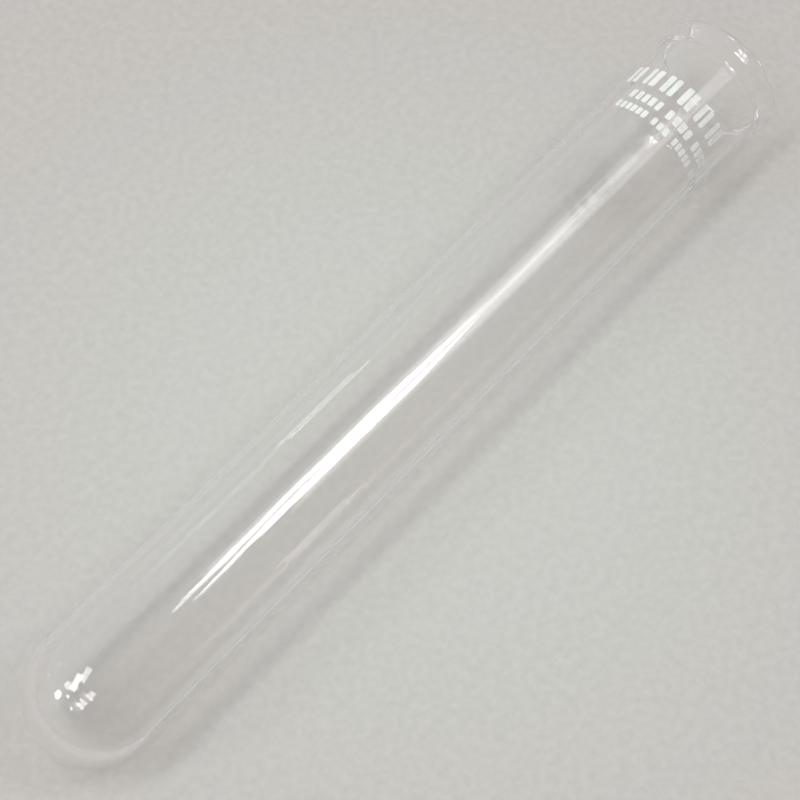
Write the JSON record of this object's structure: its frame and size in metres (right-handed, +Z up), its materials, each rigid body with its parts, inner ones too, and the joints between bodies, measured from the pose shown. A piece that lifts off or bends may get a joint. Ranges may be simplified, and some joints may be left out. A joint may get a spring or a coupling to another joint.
{
  "type": "test tube",
  "caption": "Clear glass laboratory test tube with a round bottom, a beaded fire-polished rim and rows of plain white enamel marks below it, lying on its side.",
  "frame": {"origin": "middle of the tube's outline on the surface it lies on", "axes": "+X along the lying tube towards its mouth, +Z up, +Y to the side away from the middle of the marks; the tube's own axis is tilted up by 0.25 degrees towards the mouth, because its rim is wider than its body"},
  "size_m": [0.15, 0.0212, 0.0212],
  "materials": {
    "borosilicate_glass": "clear, smooth, fire-polished at the rim",
    "white_enamel": "fired white enamel, slightly matt"
  },
  "bodies": {
    "root": {"glass_tube": "borosilicate_glass", "mark_block_1": "white_enamel", "mark_block_2": "white_enamel", "mark_block_3": "white_enamel", "mark_block_4": "white_enamel", "mark_block_5": "white_enamel", "mark_block_6": "white_enamel", "mark_dash_upper_1": "white_enamel", "mark_dash_upper_2": "white_enamel", "mark_dash_upper_3": "white_enamel", "mark_dash_lower_1": "white_enamel", "mark_dash_lower_2": "white_enamel", "mark_dash_lower_3": "white_enamel", "mark_dash_lower_4": "white_enamel"}
  },
  "joints": []
}
